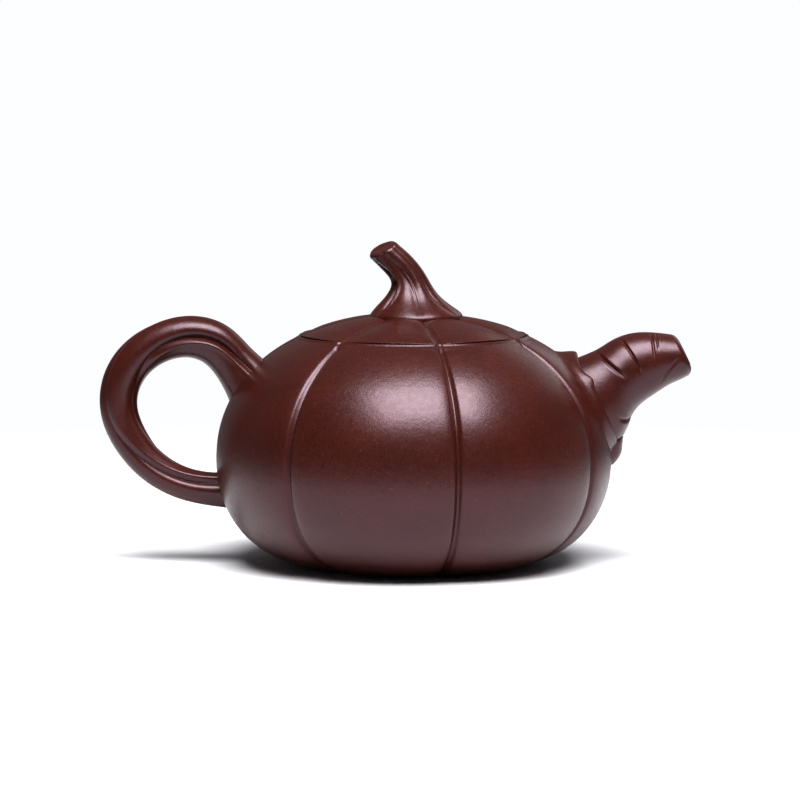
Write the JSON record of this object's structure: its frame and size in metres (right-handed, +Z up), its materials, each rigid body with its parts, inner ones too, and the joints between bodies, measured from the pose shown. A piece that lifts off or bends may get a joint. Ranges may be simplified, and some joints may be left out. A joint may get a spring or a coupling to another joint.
{
  "type": "teapot",
  "caption": "Pumpkin-shaped unglazed stoneware teapot: lobed body, vine handle, leaf-wrapped spout and a lift-off lid with a stem knob.",
  "frame": {"origin": "centre of the ring face that the pot stands on", "axes": "+Z up, +X out along the spout, the handle at -X"},
  "size_m": [0.1507, 0.1, 0.0824],
  "materials": {
    "clay_body": "unglazed, satin",
    "clay_base": "unglazed, satin",
    "clay_inside": "unglazed, satin",
    "clay_spout": "unglazed, satin",
    "clay_handle": "unglazed, satin",
    "clay_lid": "unglazed, satin",
    "clay_stem": "unglazed, satin"
  },
  "bodies": {
    "pot": {"body_wall": "clay_body", "base_slab": "clay_base", "mouth_ring": "clay_body", "spout": "clay_spout", "spout_leaf": "clay_spout", "spout_leaf_tip": "clay_spout", "strainer": "clay_inside", "handle": "clay_handle"},
    "lid": {"lid_dome": "clay_lid", "lid_flange": "clay_lid", "stem_knob": "clay_stem"}
  },
  "joints": [
    {"name": "lid_lift", "type": "slide", "parent": "pot", "child": "lid", "axis": [0, 0, 1], "range_m": [0, 0.08]}
  ]
}
